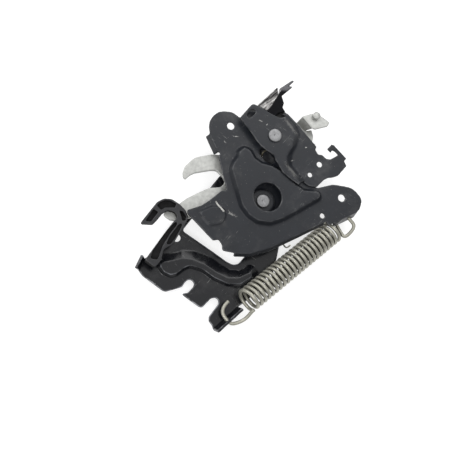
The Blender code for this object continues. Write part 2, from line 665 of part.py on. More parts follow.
def lever_pull(made):
    """The moulded pull: a J with recessed pockets between thin walls."""
    body = outline([
        (-120.7, -90.1, 1), (-116.2, -83.4, 3), (-104.8, -66.8, 5), (-98.3, -57.8, 4),
        (-94, -53.3, 3), (-96.7, -48.8, 3), (-103.1, -47.6, 4), (-107.3, -51.1, 4),
        (-110.6, -55.6, 4), (-114.7, -60.1, 2), (-123.6, -60.1, 1), (-124.6, -58.7, 1),
        (-115.4, -46.2, 5), (-111.7, -41.2, 5), (-106.1, -38, 5), (-99.4, -38.1, 5),
        (-92.7, -42.1, 5), (-87.9, -46.8, 5), (-85.4, -52.5, 4), (-86.8, -57.3, 4),
        (-91.5, -65.2, 5), (-97.1, -75, 4), (-105.5, -81, 3), (-108.1, -90.6, 3),
        (-112.3, -95.9, 1.5),
    ])
    pockets = [
        [(-116.1, -88.7, 1), (-114.3, -82.8, 1.5), (-108.7, -73.4, 2), (-103, -65.6, 2),
         (-97.4, -59.2, 1), (-95.2, -57.4, 0.6), (-95.4, -59.9, 1), (-100.7, -67.2, 2),
         (-107, -78.3, 2), (-109.9, -87.2, 1), (-111.1, -89.3, 1)],
        [(-103.3, -76.6, 0.8), (-100.3, -69.7, 2), (-93.6, -60.4, 1.5), (-91, -58.6, 0.8),
         (-91.2, -60.8, 1), (-95.8, -69.9, 2), (-100.2, -76, 1)],
        [(-92.6, -47.6, 0.8), (-90, -48.6, 0.8), (-87.6, -52.6, 1), (-88, -55.2, 0.6),
         (-90.1, -55.8, 0.6), (-91, -52, 1)],
        [(-111.4, -44.2, 0.8), (-109, -41.6, 1.5), (-105, -39.8, 2), (-100.4, -39.9, 2),
         (-95.9, -42.2, 1), (-97, -44.9, 0.8), (-101, -45, 1.5), (-105.2, -45.2, 1.5),
         (-108.3, -47.6, 1)],
        [(-114.4, -47.9, 0.6), (-111.1, -49.9, 0.6), (-116.6, -57.6, 0.6), (-120.8, -57.8, 0.6)],
    ]
    pull = prism("lever_pull", [body], PULL_BACK, PULL_TOP, made)
    foot = outline([
        (-120.3, -90.3, 1), (-116.2, -84.2, 1), (-106.8, -84.2, 1), (-108.3, -90.6, 2),
        (-112.3, -95.5, 1.5),
    ])
    weld_on(pull, prism("lever_pull_foot", [foot], LEVER_TOP + RIB_RISE + GAP, PULL_BACK + 1.0))
    for i, pocket in enumerate(pockets):
        loop = grown(outline(pocket), POCKET_GROWTH)
        cut(pull, prism(f"pull_pocket_{i}", [loop], PULL_BACK + PULL_FLOOR, PULL_TOP + 1.0))
    return pull


def tension_spring(made):
    """A close-wound extension spring with a long hook at each end."""
    low, high = Vector(COIL_LOW_END), Vector(COIL_HIGH_END)
    axis = (high - low).normalized()
    across = Vector((axis.y, -axis.x, 0.0)).normalized()
    above = across.cross(axis)
    start = (low + high) / 2 - axis * COIL_TURNS * COIL_PITCH / 2
    points = []
    for i in range(COIL_TURNS * COIL_STEPS + 1):
        turn = 2 * math.pi * i / COIL_STEPS
        spoke = across * math.cos(turn) + above * math.sin(turn)
        points.append(tuple(start + axis * COIL_PITCH * i / COIL_STEPS + COIL_R * spoke))
    low_hook = [
        (-49.4, -121.5, -9), (-53, -125.5, -9), (-54.4, -130.5, -9.4), (-52.6, -134.4, -10),
        (-49.2, -138.3, -10), (-46.4, -140.4, -10), (-42.2, -139.9, -9.2), (-35.7, -137.2, -6.8),
        (-31.3, -133.6, -4.2), (-28.4, -130.2, -2.2),
    ]
    high_hook = [
        (53.5, -62.9, -10.5), (57.5, -61, -10), (61.6, -57.4, -8.8), (63.8, -53, -7.6),
        (63, -49.8, -7.2), (60.9, -47.6, -7), (58.9, -45, -7), (57.3, -41.9, -7), (56, -39.4, -7),
    ]
    points = low_hook + points + high_hook
    return wire("tension_spring", points, COIL_WIRE, made)


def leg_spring(name, at, top, turns, start, first_leg, last_leg, made):
    """A small torsion spring round a sleeve, with a leg at each end."""
    count = round(turns * LEG_STEPS)
    coil = []
    for i in range(count + 1):
        x, y = polar(at, LEG_COIL_R, start + 360.0 * i / LEG_STEPS)
        coil.append((x, y, top - LEG_WIRE / 2 - LEG_PITCH * i / LEG_STEPS))
    return wire(name, first_leg + coil + last_leg, LEG_WIRE, made)


def stop(name, at, bottom, made, made_sleeve):
    """A headed pin hung from the bearing plate, with the rubber sleeve that a lever rests against."""
    head = BEARING_TOP + GAP
    foot = bottom - GAP
    profile = [
        (0.0, head + PIN_HEAD_H), (PIN_HEAD_R, head + PIN_HEAD_H), (PIN_HEAD_R, head),
        (PIN_R, head), (PIN_R, foot), (PIN_SLEEVE_R, foot), (PIN_SLEEVE_R, foot - PIN_HEAD_H),
        (0.0, foot - PIN_HEAD_H),
    ]
    turned(name + "_pin", at, profile, made, steps=16)
    tube(name + "_sleeve", at, PIN_R + GAP, PIN_SLEEVE_R, bottom, BEARING_BACK - GAP, made_sleeve)


def build():
    for obj in list(bpy.data.objects):
        bpy.data.objects.remove(obj, do_unlink=True)
    coat = material("black coat", (0.045, 0.048, 0.055), 0.45, 0.3)
    gloss_coat = material("glossy black coat", (0.03, 0.031, 0.035), 0.25, 0.35)
    zinc = material("zinc plate", (0.5, 0.5, 0.47), 0.4, 0.8)
    rivet_steel = material("rivet steel", (0.33, 0.33, 0.34), 0.4, 0.8)
    bright = material("bright steel", (0.3, 0.29, 0.29), 0.25, 0.9)
    moulding = material("black moulding", (0.025, 0.026, 0.03), 0.5, 0.0)
    spring_steel = material("spring steel", (0.33, 0.32, 0.28), 0.4, 0.8)
    bush = material("bush", (0.05, 0.05, 0.05), 0.6, 0.0)
    rubber = material("rubber", (0.02, 0.02, 0.02), 0.8, 0.0)

    fork_axis = pivot("fork_axis", FORK_AXIS)
    lever_axis = pivot("lever_axis", FORK_AXIS)
    pawl_axis = pivot("pawl_axis", PAWL_AXIS)

    main_plate(coat)
    cover_plate(coat)
    bearing_plate(coat)
    rivet("fork_rivet", FORK_AXIS, BOSS_TOP + GAP, WASHER_BACK - GAP, rivet_steel)
    rivet("pawl_rivet", PAWL_AXIS, COVER_TOP + GAP, ARM_BACK - GAP, rivet_steel)
    tube("lever_washer", FORK_AXIS, RIVET_R + GAP, WASHER_R, WASHER_BACK, WASHER_TOP, rivet_steel)
    spacer_back, spacer_top = RELEASE_TOP + GAP, ISLAND_TOP
    tube("cover_spacer", PAWL_AXIS, RIVET_R + GAP, SPACER_R, spacer_back, spacer_top, rivet_steel)
    stop("fork_stop", FORK_STOP, FORK_BACK, rivet_steel, rubber)
    stop("lever_stop", LEVER_STOP, LEVER_BACK, rivet_steel, rubber)

    moving_fork = [
        fork(zinc),
        tube("fork_bush", FORK_AXIS, RIVET_R + GAP, SLEEVE_R, LEVER_TOP + GAP, FORK_TOP, bush),
    ]
    moving_lever = [
        lift_lever(gloss_coat),
        lever_pull(moulding),
        tube("lever_bush", FORK_AXIS, RIVET_R + GAP, SLEEVE_R, LEVER_BACK, LEVER_TOP, bush),
    ]
    sleeve_top = RELEASE_BACK - GAP
    moving_pawl = [
        pawl(zinc),
        tube("pawl_sleeve", PAWL_AXIS, RIVET_R + GAP, SLEEVE_R, PAWL_BACK, sleeve_top, zinc),
        release_arm(zinc),
        cable_stud(zinc),
        release_lever(bright),
    ]
    for pieces, empty in ((moving_fork, fork_axis), (moving_lever, lever_axis), (moving_pawl, pawl_axis)):
        for piece in pieces:
            hang(piece, empty)

    tension_spring(spring_steel)
    coil_top = FORK_BACK - GAP
    under_fork = coil_top - LEG_WIRE / 2
    leg_spring(
        "fork_spring", FORK_AXIS, coil_top, FORK_COIL_TURNS, FORK_COIL_START,
        [(*FORK_SPRING_HOLE, FORK_TOP - 1), (*FORK_SPRING_HOLE, under_fork)],
        [(-8, -56, -13.9), (0, -69, -13.9), (2.4, -72.8, -13.2), (2.9, -73.8, -9), (2.5, -73.4, 0.5)],
        spring_steel,
    )
    leg_spring(
        "pawl_spring", PAWL_AXIS, -GAP, PAWL_COIL_TURNS, PAWL_COIL_START,
        [(-20.4, 5.4, -6), (-20.6, 6.4, -2), (-20, 8.6, -1)],
        [(-22, 28.2, -3.6), (-25.6, 27.8, -3.9), (-26.4, 27.2, -5), (-26.4, 26.8, -9), (-22, 23.4, -9)],
        spring_steel,
    )


build()
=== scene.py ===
"""Bonnet latch, dressed: softened pressings, wound springs, worn finishes and a stage."""

import math

import bmesh
import bpy
from bpy.props import FloatProperty, FloatVectorProperty, IntProperty, PointerProperty
from mathutils import Matrix, Vector


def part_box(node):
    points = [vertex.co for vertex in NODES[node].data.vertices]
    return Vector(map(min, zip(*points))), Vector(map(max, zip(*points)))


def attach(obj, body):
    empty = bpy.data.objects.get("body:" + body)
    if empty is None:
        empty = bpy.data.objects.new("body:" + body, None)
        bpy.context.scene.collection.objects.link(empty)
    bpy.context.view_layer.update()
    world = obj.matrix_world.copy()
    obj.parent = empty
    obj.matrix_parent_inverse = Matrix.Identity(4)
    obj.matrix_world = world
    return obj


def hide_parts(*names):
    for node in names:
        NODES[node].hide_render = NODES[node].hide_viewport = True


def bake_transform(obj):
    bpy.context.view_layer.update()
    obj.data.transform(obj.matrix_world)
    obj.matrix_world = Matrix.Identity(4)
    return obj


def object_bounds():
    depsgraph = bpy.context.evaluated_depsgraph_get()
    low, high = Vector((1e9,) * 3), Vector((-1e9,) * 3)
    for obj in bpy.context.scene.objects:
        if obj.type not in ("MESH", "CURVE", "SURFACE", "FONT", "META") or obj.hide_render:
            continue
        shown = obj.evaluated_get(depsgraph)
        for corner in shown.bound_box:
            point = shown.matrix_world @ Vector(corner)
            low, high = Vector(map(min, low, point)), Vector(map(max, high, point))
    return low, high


bl_info = {
    "name": "Bonnet Latch",
    "version": (1, 0, 0),
    "blender": (4, 5, 0),
    "location": "View3D > Sidebar > Latch",
    "description": "Builds a worn bonnet latch round its packed solids",
    "category": "Object",
}

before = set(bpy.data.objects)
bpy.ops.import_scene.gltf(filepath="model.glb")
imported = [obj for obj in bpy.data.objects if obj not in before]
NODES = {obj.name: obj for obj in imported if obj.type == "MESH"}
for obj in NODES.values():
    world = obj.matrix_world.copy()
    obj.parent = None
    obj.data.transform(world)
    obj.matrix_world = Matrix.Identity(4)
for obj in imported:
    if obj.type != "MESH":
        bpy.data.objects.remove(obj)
CAD_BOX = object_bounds()
MM = 0.001

# Where the two rivets stand, the radius and thickness of their heads, the radius of their shanks,
# and the neck of the cable stud, as wide from its axis as it is high, in millimetres
PAWL_AXIS = (-12.6, 20.0)
FORK_AXIS = (-20.3, -35.3)
RIVET_HEAD = 5.7
RIVET_RISE = 1.6
RIVET_SHANK = 4.0
STUD_NECK = 1.6

# The camera stands where the photograph was taken from, in millimetres
EYE = (-204.3, -199.0, 650.0)
SIGHT_LINE = (0.2207, 0.1918, -0.9563)
FOCAL_PIXELS = 812.5
PICTURE_WIDTH = 450.0
SENSOR = 36.0

# Scratches on the coat, and bands of painted highlight on the cover plate's sloped steps, as
# seen, in millimetres and degrees: centre, heading, half length, half width, strength, and how
# little the pattern breaks them up
SCRATCHES_AND_LIT_BANDS = (
    ((-59.5, -43.5), -50.0, 3.5, 0.55, 1.0, 0.9), ((-48.9, -49.3), -30.0, 5.0, 1.9, 0.4, 0.0),
    ((-45.0, 19.1), 0.0, 3.4, 0.6, 0.7, 0.0), ((-54.9, 13.4), -55.0, 1.8, 0.6, 0.5, 0.0),
    ((-24.6, 32.2), -26.0, 2.2, 0.6, 0.6, 0.0), ((-19.6, 29.3), 20.0, 1.2, 0.6, 0.7, 0.0),
    ((3.8, 0.0), 29.0, 2.6, 0.5, 0.5, 0.0), ((16.9, 12.8), 10.0, 1.0, 0.6, 0.7, 0.0),
    # The last two are wide, faint bands of painted highlight on the cover plate's sloped steps
    ((1.6, 30.4), -52.0, 8.5, 1.7, 0.22, 0.4), ((2.0, -9.4), -50.0, 7.5, 1.8, 0.22, 0.4),
)

# The bearing plate is closed round the pawl spring's leg, where its solid has a slot: outline,
# place and radius of the leg's bore, and the lowest and highest point of the plate there
SPRING_SLOT = [
    (-26, 8), (-22.6, 11.5), (-16, 10.6), (-9.4, 4), (-9.2, -0.9), (-13.7, -4.6), (-19.6, -2.4),
    (-25.4, 2.6),
]
SPRING_LEG = (-20.4, 5.5)
LEG_BORE = 1.0
BEARING_SHEET = (-6.7, -4.9)

# Inner sheet, black as painted shade, that shows behind the release lever and through the
# cover's slot
LEVER_WEB = [
    (-12.5, 40), (-10.7, 45.2), (-3, 46.3), (0.3, 43.8), (2.1, 41.6), (-1.7, 38.1), (-9.9, 37.4),
]
SLOT_WEB = [(-34.6, 42.3), (-33.2, 46.4), (-30.1, 48), (-26, 46.5), (-26.1, 42.1)]
INNER_SHEET = (0.4, 2.1)

# The release lever, with a painted sheen in streaks on its raised side and painted shade on its
# flat side: a unit vector across its crease towards the raised side, how far along that vector
# the crease lies and over what width the painted sheen gives way to the painted shade, and
# between which two Y its grips fade in, in millimetres; then the heading of its streaks in
# degrees, and its colours
CREASE_SIDE = (-0.853, 0.522, 0.0)
CREASE_AT = 36.95
CREASE_WIDTH = 1.0
GRIPS_FROM = 62.0
GRIPS_FULL = 65.0
STREAK_ANGLE = -42.0
SHEEN_STREAK_DARK = (0.045, 0.043, 0.045)
SHEEN_STREAK_BRIGHT = (0.5, 0.49, 0.48)
SHADED_FLAT_SIDE = (0.004, 0.004, 0.005)
GRIP_GREY = (0.08, 0.08, 0.085)

# The moulded pull gets painted shade below these depths under its top, in millimetres
POCKET_DARK = 1.6
POCKET_FADE = 0.7

# What lies over a finish: dust, bare metal, painted highlight and painted shade
DUST_COLOUR = (0.4, 0.39, 0.37)
DUST_ROUGHNESS = 0.8
BARE_METAL_AND_HIGHLIGHT = (0.5, 0.495, 0.47)
COIL_SHADE_COLOUR = (0.03, 0.028, 0.022)
HOLLOW_SHADE_COLOUR = (0.004, 0.004, 0.0045)
HOLLOW_ROUGHNESS = 0.85
BUMP_DEPTH = 0.0002

# The tension spring, in millimetres: the ends that its coil is centred between, and its hooks
COIL_ENDS = [(-36.3, -122.4, -0.6), (46.7, -55.5, -11.5)]
LOW_HOOK = [
    (-49.4, -121.5, -9), (-53, -125.5, -9), (-54.4, -130.5, -9.4), (-52.6, -134.4, -10),
    (-49.2, -138.3, -10), (-46.4, -140.2, -10), (-42.2, -139.6, -9.2), (-36.8, -137.2, -7.4),
    (-33.2, -133.8, -4.6), (-31.6, -131.2, -2.4),
]
HIGH_HOOK = [
    (43.2, -45.8, -11.4), (47.4, -48.6, -11), (50.3, -53.8, -10.4), (53.2, -59.4, -9.8),
    (55, -61.6, -9.6), (57.6, -61.2, -9.2), (60.8, -58.2, -8.8), (63.6, -54.6, -8),
    (64.2, -51.6, -7.6), (63, -49.5, -7.2), (60.9, -47.6, -7), (58.9, -45, -7),
    (57.3, -41.9, -7), (56, -39.4, -7),
]

# Painted shade inside that coil: its mark on the mesh, how far it reaches outwards, and over how
# many turns it thins out towards the low, open end
COIL_SHADE_MARK = "inside"
COIL_SHADE_REACH = 0.35
COIL_SHADE_THINS = 3.0

# The two leg springs, in millimetres: radius and pitch of their coils, how far below its top
# the first turn starts, and their gap to the fork
LEG_COIL_RADIUS = 7.7
LEG_COIL_PITCH = 1.75
LEG_COIL_DROP = 0.7
LEG_COIL_GAP = 0.3
STEPS_PER_TURN = 40

# The floor, in metres, and how the light falls off towards the horizon
FLOOR_REACH = 40.0
FLOOR_GAP = 0.0002
FLOOR_GLOW = 0.72
HORIZON_SHARE = 0.2


class LatchSizes(bpy.types.PropertyGroup):
    """Sizes of the made pieces."""

    plate_grain: FloatProperty(
        name="Plate grain", description="Cell size of the pressed plates' surface",
        default=0.0006, min=0.0004, max=0.002, unit="LENGTH",
    )
    small_grain: FloatProperty(
        name="Small grain", description="Cell size of the smaller pressings' surface",
        default=0.00045, min=0.0003, max=0.002, unit="LENGTH",
    )
    pull_grain: FloatProperty(
        name="Pull grain", description="Cell size of the moulded pull's surface",
        default=0.00032, min=0.0002, max=0.002, unit="LENGTH",
    )
    edge_rounds: IntProperty(
        name="Edge rounds", description="How often the cut edges of the pressings are softened",
        default=5, min=1, max=20,
    )
    fine_rounds: IntProperty(
        name="Fine rounds", description="How often the release lever and the pull are softened",
        default=3, min=1, max=20,
    )
    coil_radius: FloatProperty(
        name="Coil radius", description="Middle radius of the tension spring's coil",
        default=0.0095, min=0.004, max=0.02, unit="LENGTH",
    )
    coil_wire: FloatProperty(
        name="Coil wire", description="Diameter of the tension spring's wire",
        default=0.0031, min=0.001, max=0.004, unit="LENGTH",
    )
    coil_turns: FloatProperty(
        name="Coil turns", description="Turns in the tension spring",
        default=23.5, min=5.0, max=40.0,
    )
    coil_pitch: FloatProperty(
        name="Coil pitch", description="Distance from turn to turn in the tension spring",
        default=0.0045, min=0.002, max=0.01, unit="LENGTH",
    )
    leg_wire: FloatProperty(
        name="Leg spring wire", description="Diameter of the two small springs' wire",
        default=0.0014, min=0.0006, max=0.003, unit="LENGTH",
    )


class LatchFinish(bpy.types.PropertyGroup):
    """Colours and wear."""

    coat: FloatVectorProperty(
        name="Coat", description="Satin black coat of the plates", subtype="COLOR", size=3,
        default=(0.0115, 0.0135, 0.018), min=0.0, max=1.0,
    )
    gloss_coat: FloatVectorProperty(
        name="Glossy coat", description="Coat of the lift lever", subtype="COLOR", size=3,
        default=(0.0055, 0.006, 0.008), min=0.0, max=1.0,
    )
    oiled: FloatVectorProperty(
        name="Oiled steel", description="Greased pawl behind the window, and its spring",
        subtype="COLOR", size=3, default=(0.15, 0.135, 0.095), min=0.0, max=1.0,
    )
    zinc: FloatVectorProperty(
        name="Zinc", description="Plated fork, release arm, cable button and sleeve",
        subtype="COLOR", size=3, default=(0.47, 0.475, 0.455), min=0.0, max=1.0,
    )
    rivet: FloatVectorProperty(
        name="Rivet steel", description="Rivets, washer, spacer and pins", subtype="COLOR",
        size=3, default=(0.26, 0.262, 0.268), min=0.0, max=1.0,
    )
    wire: FloatVectorProperty(
        name="Spring wire", description="Drawn wire of the springs", subtype="COLOR", size=3,
        default=(0.4, 0.392, 0.335), min=0.0, max=1.0,
    )
    moulding: FloatVectorProperty(
        name="Moulding", description="Plastic of the pull", subtype="COLOR", size=3,
        default=(0.016, 0.0165, 0.019), min=0.0, max=1.0,
    )
    dust: FloatProperty(
        name="Dust", description="How much pale dust lies on the coat", default=0.35, min=0.0,
        max=1.0, subtype="FACTOR",
    )
    scratches: FloatProperty(
        name="Scratches", description="How strongly the fine scratches show", default=0.45,
        min=0.0, max=1.0, subtype="FACTOR",
    )
    # This amount also sets the painted highlight along the lift lever's ridge, 2.2 times as strong
    edge_wear_and_sheen: FloatProperty(
        name="Edge wear", description="How far the coat is rubbed off the edges", default=0.4,
        min=0.0, max=1.0, subtype="FACTOR",
    )


class LatchStage(bpy.types.PropertyGroup):
    """Floor, light and camera."""

    floor: FloatVectorProperty(
        name="Floor", description="Colour of the floor", subtype="COLOR", size=3,
        default=(0.45, 0.45, 0.45), min=0.0, max=1.0,
    )
    world_light: FloatProperty(
        name="World light", description="Strength of the light from straight above",
        default=0.95, min=0.0, max=3.0,
    )
    key_light: FloatProperty(
        name="Key light", description="Power of the large lamp above the top", default=4.0,
        min=0.0, max=100.0, unit="POWER",
    )
    rim_light: FloatProperty(
        name="Rim light", description="Power of the lamp behind the top", default=2.8,
        min=0.0, max=100.0, unit="POWER",
    )
    front_light: FloatProperty(
        name="Front light", description="Power of the small lamp beside the camera",
        default=1.6, min=0.0, max=100.0, unit="POWER",
    )


def sizes():
    return bpy.context.scene.latch_sizes


def finish():
    return bpy.context.scene.latch_finish


def put(tree, kind, links=None, values=None, **settings):
    """Adds a node, with its settings, its fixed socket values and its incoming links."""
    node = tree.nodes.new(kind)
    for key, value in settings.items():
        setattr(node, key, value)
    for key, value in (values or {}).items():
        node.inputs[key].default_value = value
    for key, source in (links or {}).items():
        tree.links.new(source, node.inputs[key])
    return node


def feed(tree, socket, source):
    """Links a socket to its source, or sets it where the source is a plain value."""
    if isinstance(source, bpy.types.NodeSocket):
        tree.links.new(source, socket)
    else:
        socket.default_value = source


def steps(tree, source, low, high):
    """A smooth mask that is 0 below low and 1 above high."""
    node = put(
        tree, "ShaderNodeMapRange", {"Value": source}, {"From Min": low, "From Max": high},
        interpolation_type="SMOOTHSTEP",
    )
    return node.outputs["Result"]


def sums(tree, operation, *sources):
    """A Math node on its sources, any of which may be a plain number."""
    node = put(tree, "ShaderNodeMath", operation=operation)
    for socket, source in zip(node.inputs, sources):
        feed(tree, socket, source)
    return node.outputs[0]


def noise(tree, vector, scale, detail=2.0, roughness=0.5):
    """Fractal noise, at a scale that may be a socket."""
    node = put(
        tree, "ShaderNodeTexNoise", {"Vector": vector}, {"Detail": detail, "Roughness": roughness}
    )
    feed(tree, node.inputs["Scale"], scale)
    return node.outputs["Fac"]


def mix_colour(tree, mask, base, over):
    """One colour over another where the mask is 1. Each is a socket or three numbers."""
    node = put(tree, "ShaderNodeMix", {"Factor": mask}, data_type="RGBA")
    for label, source in (("A", base), ("B", over)):
        feed(tree, node.inputs[label], (*source, 1.0) if isinstance(source, tuple) else source)
    return node.outputs["Result"]


def parts(tree, vector):
    """The X, Y and Z of a vector."""
    return put(tree, "ShaderNodeSeparateXYZ", {0: vector}).outputs


def turned_place(tree, vector, angle):
    """A place turned about Z by an angle in radians, which may be a socket."""
    node = put(tree, "ShaderNodeVectorRotate", {"Vector": vector})
    feed(tree, node.inputs["Angle"], angle)
    return node.outputs[0]


def stretched_place(tree, vector, stretch):
    """A place multiplied along each axis, for patterns that run in lines."""
    node = put(tree, "ShaderNodeVectorMath", {0: vector}, {1: stretch}, operation="MULTIPLY")
    return node.outputs[0]


def place_group(tree, name, rule, vector, values, results=("Mask",)):
    """Adds a shared node group, which its rule fills the first time, and gives its outputs."""
    if name not in bpy.data.node_groups:
        group = bpy.data.node_groups.new(name, "ShaderNodeTree")
        group.interface.new_socket("Vector", in_out="INPUT", socket_type="NodeSocketVector")
        for label, value in values.items():
            kind = "NodeSocketVector" if isinstance(value, tuple) else "NodeSocketFloat"
            group.interface.new_socket(label, in_out="INPUT", socket_type=kind)
        for label in results:
            group.interface.new_socket(label, in_out="OUTPUT", socket_type="NodeSocketFloat")
        given, found = group.nodes.new("NodeGroupInput"), group.nodes.new("NodeGroupOutput")
        for label, source in zip(results, rule(group, given.outputs)):
            group.links.new(source, found.inputs[label])
    shared = bpy.data.node_groups[name]
    return put(tree, "ShaderNodeGroup", {"Vector": vector}, values, node_tree=shared).outputs


def metal_mottle(tree, given):
    """Slow variation from place to place, round 0, and a fine grain for bumps."""
    slow = noise(tree, given["Vector"], given["Scale"], detail=5.0, roughness=0.6)
    return sums(tree, "SUBTRACT", slow, 0.5), noise(tree, given["Vector"], given["Grain"])


def fine_scratches(tree, given):
    """Fine straight scratches in two directions, only in some patches."""
    masks = []
    for turn, stretch in ((0.6, (90.0, 1500.0, 300.0)), (2.3, (120.0, 1700.0, 300.0))):
        drawn = stretched_place(tree, turned_place(tree, given["Vector"], turn), stretch)
        lines = steps(tree, noise(tree, drawn, scale=1.0, detail=1.0), low=0.72, high=0.78)
        patched = noise(tree, given["Vector"], scale=26.0 + 9.0 * turn)
        masks.append(sums(tree, "MULTIPLY", lines, steps(tree, patched, low=0.5, high=0.62)))
    return (sums(tree, "MULTIPLY", sums(tree, "MAXIMUM", *masks), given["Amount"]),)


def settled_dust(tree, given):
    """Pale specks and soft patches on what faces up."""
    speckled = noise(tree, given["Vector"], scale=900.0, detail=1.0)
    clouded = noise(tree, given["Vector"], scale=45.0, detail=6.0, roughness=0.65)
    film = sums(tree, "MULTIPLY", steps(tree, clouded, low=0.5, high=0.85), 0.3)
    both = sums(tree, "MAXIMUM", steps(tree, speckled, low=0.74, high=0.8), film)
    facing = parts(tree, put(tree, "ShaderNodeNewGeometry").outputs["Normal"])["Z"]
    settled = sums(tree, "MULTIPLY", both, steps(tree, facing, low=0.3, high=0.9))
    return (sums(tree, "MULTIPLY", settled, given["Amount"]),)


def rubbed_and_sheened_edges(tree, given):
    """Edges rubbed bare, broken up by a coarse pattern; on the glossy coat, a painted highlight."""
    sharp = put(tree, "ShaderNodeNewGeometry").outputs["Pointiness"]
    coarse = noise(tree, given["Vector"], scale=110.0, detail=5.0, roughness=0.7)
    rubbed = sums(
        tree, "MULTIPLY", steps(tree, sharp, low=0.507, high=0.545),
        steps(tree, coarse, low=0.36, high=0.66),
    )
    return (sums(tree, "MULTIPLY", rubbed, given["Amount"]),)


def ragged_strip(tree, given):
    """One ragged strip, for a short scratch through the coat and for a band of painted highlight.
    """
    from_centre = put(
        tree, "ShaderNodeVectorMath", {0: given["Vector"], 1: given["Centre"]},
        operation="SUBTRACT",
    )
    headed = turned_place(tree, from_centre.outputs[0], given["Angle"])
    along = parts(tree, headed)
    far = sums(tree, "DIVIDE", sums(tree, "ABSOLUTE", along["X"]), given["Half Length"])
    off = sums(tree, "DIVIDE", sums(tree, "ABSOLUTE", along["Y"]), given["Half Width"])
    drawn = stretched_place(tree, headed, (300.0, 1900.0, 300.0))
    torn = noise(tree, drawn, scale=1.0, detail=3.0, roughness=0.7)
    pitted = noise(tree, given["Vector"], scale=750.0, detail=2.0, roughness=0.8)
    ragged = sums(
        tree, "ADD", sums(tree, "MULTIPLY", torn, 2.6), sums(tree, "MULTIPLY", pitted, 2.2)
    )
    edge = sums(tree, "ADD", sums(tree, "MAXIMUM", far, off), ragged)
    firm = sums(tree, "SUBTRACT", edge, given["Solid"])
    return (sums(tree, "SUBTRACT", 1.0, steps(tree, firm, low=2.5, high=3.1)),)


def surface(name, colour, roughness, metallic, mottle=(60.0, 1500.0), shade=0.25, uneven=0.25,
            bump=0.1, dust=0.0, scratch=0.0, scratch_colour=(0.35, 0.35, 0.34), wear_and_sheen=0.0,
            wear_and_sheen_colour=(0.24, 0.24, 0.245), scratches_and_lit_bands=(), shine=0.5, shaded_hollow=None, inside=None):
    """One finish: a colour that varies, or a rule that makes it, and what lies over it.

    mottle is the scale of the slow variation and of the grain, and shade and uneven say how far
    the first changes the colour and the roughness. Below the heights in shaded_hollow the finish
    gets painted shade, and inside names an attribute that says where a coil's inner side gets
    painted shade.
    """
    if name in bpy.data.materials:
        return bpy.data.materials[name]
    made = bpy.data.materials.new(name)
    made.use_nodes = True
    tree = made.node_tree
    shader = tree.nodes["Principled BSDF"]
    vector = put(tree, "ShaderNodeTexCoord").outputs["Object"]
    scales = {"Scale": mottle[0], "Grain": mottle[1]}
    varied = place_group(tree, "Metal Mottle", metal_mottle, vector, scales, ("Slow", "Fine"))
    if callable(colour):
        shown = colour(tree, vector)
    else:
        shading = sums(tree, "MULTIPLY_ADD", varied["Slow"], 2.0 * shade, 1.0)
        tint = put(
            tree, "ShaderNodeVectorMath", {"Scale": shading}, {0: colour}, operation="SCALE"
        )
        shown = tint.outputs["Vector"]
    rough = sums(tree, "MULTIPLY_ADD", varied["Slow"], 2.0 * uneven * roughness, roughness)
    if wear_and_sheen:
        amount = {"Amount": wear_and_sheen}
        rubbed = place_group(tree, "Rubbed Edges", rubbed_and_sheened_edges, vector, amount)["Mask"]
        shown = mix_colour(tree, rubbed, shown, wear_and_sheen_colour)
    if scratch:
        amount = {"Amount": scratch}
        lines = place_group(tree, "Fine Scratches", fine_scratches, vector, amount)["Mask"]
        shown = mix_colour(tree, lines, shown, scratch_colour)
    # Painted shade below the given heights, where the recesses lie
    if shaded_hollow:
        pocket_shade = sums(tree, "SUBTRACT", 1.0, steps(tree, parts(tree, vector)["Z"], *shaded_hollow))
        shown = mix_colour(tree, pocket_shade, shown, HOLLOW_SHADE_COLOUR)
        rough = sums(tree, "MAXIMUM", rough, sums(tree, "MULTIPLY", pocket_shade, HOLLOW_ROUGHNESS))
    # Painted shade on the coil's inner side, where the attribute marks it
    if inside:
        coil_shade = put(tree, "ShaderNodeAttribute", attribute_name=inside).outputs["Fac"]
        shown = mix_colour(tree, coil_shade, shown, COIL_SHADE_COLOUR)
    # Scratches show bare metal; the wide, faint bands are painted highlight
    for centre, heading, half_length, half_width, strength, solid in scratches_and_lit_bands:
        strip_mask = place_group(tree, "Single Gouge", ragged_strip, vector, {
            "Centre": (centre[0] * MM, centre[1] * MM, 0.0), "Angle": -math.radians(heading),
            "Half Length": half_length * MM, "Half Width": half_width * MM, "Solid": solid,
        })
        scraped_and_lit = sums(tree, "MULTIPLY", strip_mask["Mask"], strength)
        shown = mix_colour(tree, scraped_and_lit, shown, BARE_METAL_AND_HIGHLIGHT)
    if dust:
        amount = {"Amount": dust}
        settled = place_group(tree, "Settled Dust", settled_dust, vector, amount)["Mask"]
        shown = mix_colour(tree, settled, shown, DUST_COLOUR)
        rough = sums(tree, "MAXIMUM", rough, sums(tree, "MULTIPLY", settled, DUST_ROUGHNESS))
    raised = put(
        tree, "ShaderNodeBump", {"Height": varied["Fine"]},
        {"Strength": bump, "Distance": BUMP_DEPTH},
    )
    tree.links.new(shown, shader.inputs["Base Color"])
    tree.links.new(rough, shader.inputs["Roughness"])
    tree.links.new(raised.outputs["Normal"], shader.inputs["Normal"])
    shader.inputs["Metallic"].default_value = metallic
    shader.inputs["Specular IOR Level"].default_value = shine
    return made


def satin_coat():
    look = finish()
    return surface(
        "Satin black coat", tuple(look.coat), 0.4, 0.0, shade=0.35, uneven=0.3, bump=0.12,
        dust=look.dust, scratch=look.scratches, wear_and_sheen=look.edge_wear_and_sheen, scratches_and_lit_bands=SCRATCHES_AND_LIT_BANDS, shine=0.38,
    )


